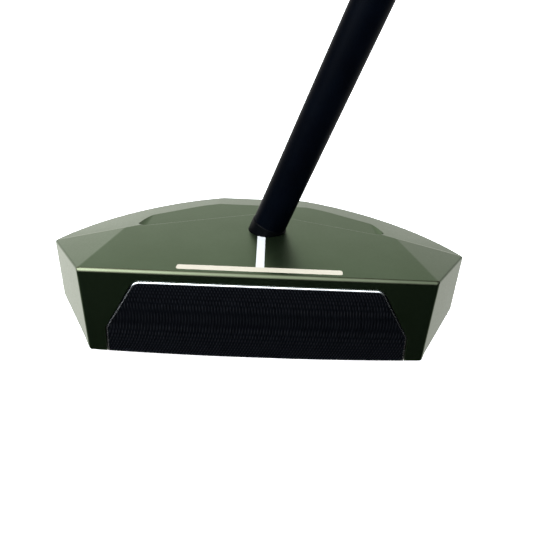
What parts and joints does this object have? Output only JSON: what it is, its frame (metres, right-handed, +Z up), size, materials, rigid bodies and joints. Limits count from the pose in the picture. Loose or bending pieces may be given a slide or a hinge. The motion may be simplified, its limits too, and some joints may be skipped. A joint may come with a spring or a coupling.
{
  "type": "mallet putter",
  "caption": "Golf putter with a low milled mallet head, face insert, T-shaped sighting inlay, sole weights, straight tapered shaft and paddle grip.",
  "frame": {"origin": "on the flat pad in the middle of the sole, on the head's centre plane, 25 mm behind the top edge of the face", "axes": "+X to the heel, -Y out of the face, +Z up; the shaft leans toward +X as it rises"},
  "size_m": [0.3656, 0.0577, 0.8132],
  "materials": {
    "anodised_green": "dark olive green anodised, satin bead-blasted",
    "insert_black": "black anodised with crossing fly-cut milling arcs and a bare top chamfer",
    "membrane": "matt elastomer",
    "inlay_white": "white paint fill, satin",
    "weight_steel": "turned stainless steel",
    "ferrule_black": "polished black plastic",
    "shaft_black": "black coated steel, satin",
    "epoxy": "cured adhesive",
    "plug": "soft plug",
    "tape": "paper-backed tape",
    "underlisting": "closed-cell foam rubber",
    "grip_black": "matt black polyurethane with a fine moulded pattern",
    "cap_black": "matt moulded rubber"
  },
  "bodies": {
    "root": {"head_body": "anodised_green", "face_insert": "insert_black", "insert_membrane": "membrane", "alignment_bar": "inlay_white", "alignment_line": "inlay_white", "weight_heel_1": "weight_steel", "weight_heel_2": "weight_steel", "weight_heel_3": "weight_steel", "weight_heel_4": "weight_steel", "weight_toe_1": "weight_steel", "weight_toe_2": "weight_steel", "weight_toe_3": "weight_steel", "weight_toe_4": "weight_steel", "ferrule": "ferrule_black", "shaft": "shaft_black", "shaft_epoxy": "epoxy", "tip_plug": "plug", "grip_tape": "tape", "grip_underlisting": "underlisting", "grip_skin": "grip_black", "grip_cap": "cap_black"}
  },
  "joints": []
}
